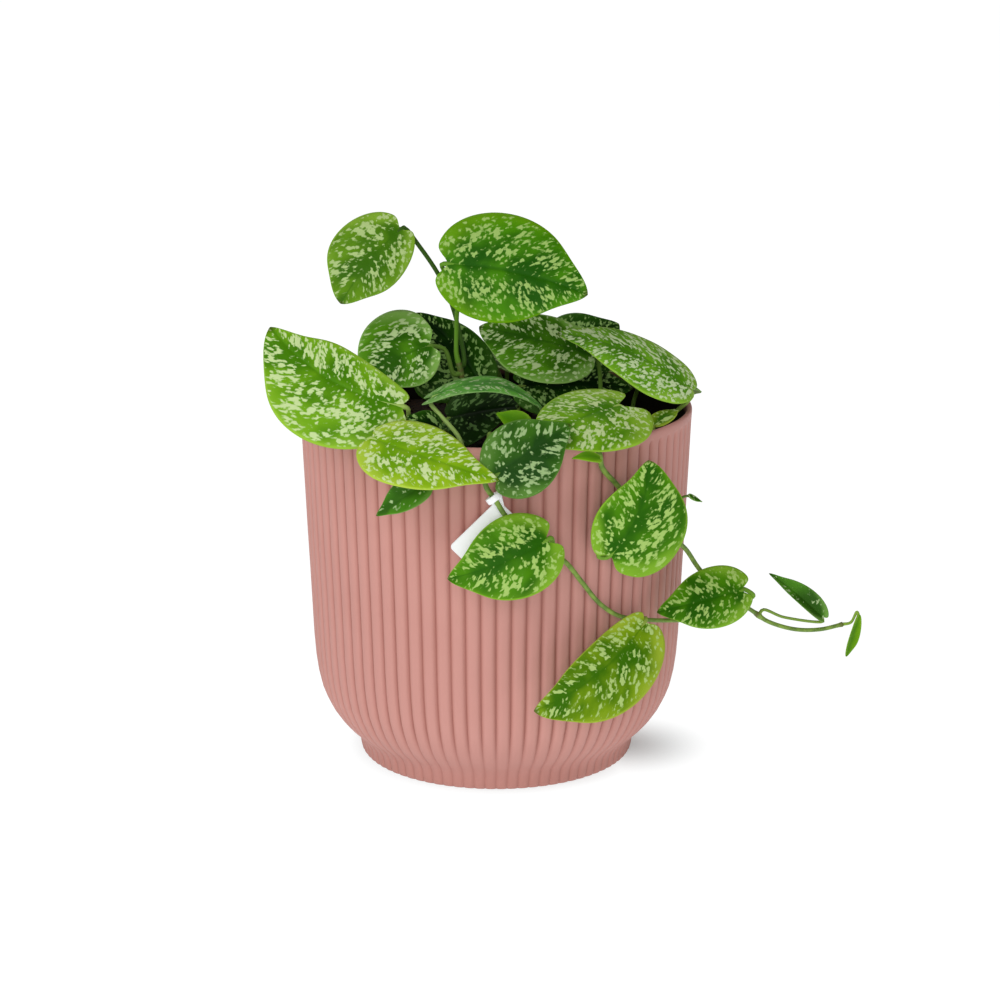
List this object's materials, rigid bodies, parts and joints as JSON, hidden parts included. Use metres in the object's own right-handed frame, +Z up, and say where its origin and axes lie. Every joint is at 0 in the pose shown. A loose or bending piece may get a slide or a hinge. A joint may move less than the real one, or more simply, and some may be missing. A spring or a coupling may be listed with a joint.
{
  "type": "potted satin pothos",
  "caption": "Trailing houseplant with silver-splashed heart-shaped leaves, growing in soil in a fluted cover pot that stands on a flat base.",
  "frame": {"origin": "centre of the pot's underside", "axes": "+Z up along the pot's axis, -Y towards the viewer, +X to the viewer's right, where the longest vine leaves the pot"},
  "size_m": [0.2108, 0.1855, 0.1997],
  "materials": {
    "pot": "matte dusty-pink glaze with a satin sheen",
    "soil": "dark, damp peat with coarse crumbs",
    "leaf": "satin green with irregular silver splashes",
    "stem": "smooth, satin green",
    "label": "plain white plastic"
  },
  "bodies": {
    "root": {"label": "label", "leaf_back": "leaf", "leaf_back_centre": "leaf", "leaf_back_left": "leaf", "leaf_back_right": "leaf", "leaf_back_side": "leaf", "leaf_back_top": "leaf", "leaf_back_vine_1": "leaf", "leaf_back_vine_2": "leaf", "leaf_back_vine_3": "leaf", "leaf_back_vine_4": "leaf", "leaf_end": "leaf", "leaf_folded": "leaf", "leaf_front": "leaf", "leaf_front_high": "leaf", "leaf_front_low": "leaf", "leaf_heart": "leaf", "leaf_inner": "leaf", "leaf_inner_left": "leaf", "leaf_inner_right": "leaf", "leaf_left": "leaf", "leaf_left_low": "leaf", "leaf_left_under": "leaf", "leaf_middle": "leaf", "leaf_new": "leaf", "leaf_right": "leaf", "leaf_right_front": "leaf", "leaf_right_low": "leaf", "leaf_right_shade": "leaf", "leaf_rim": "leaf", "leaf_rim_right": "leaf", "leaf_shade": "leaf", "leaf_side_left": "leaf", "leaf_sprout": "leaf", "leaf_top": "leaf", "leaf_top_left": "leaf", "leaf_upper_left": "leaf", "pot": "pot", "soil": "soil", "stem_crown": "stem", "vine_back": "stem", "vine_front": "stem", "vine_right": "stem"}
  },
  "joints": []
}
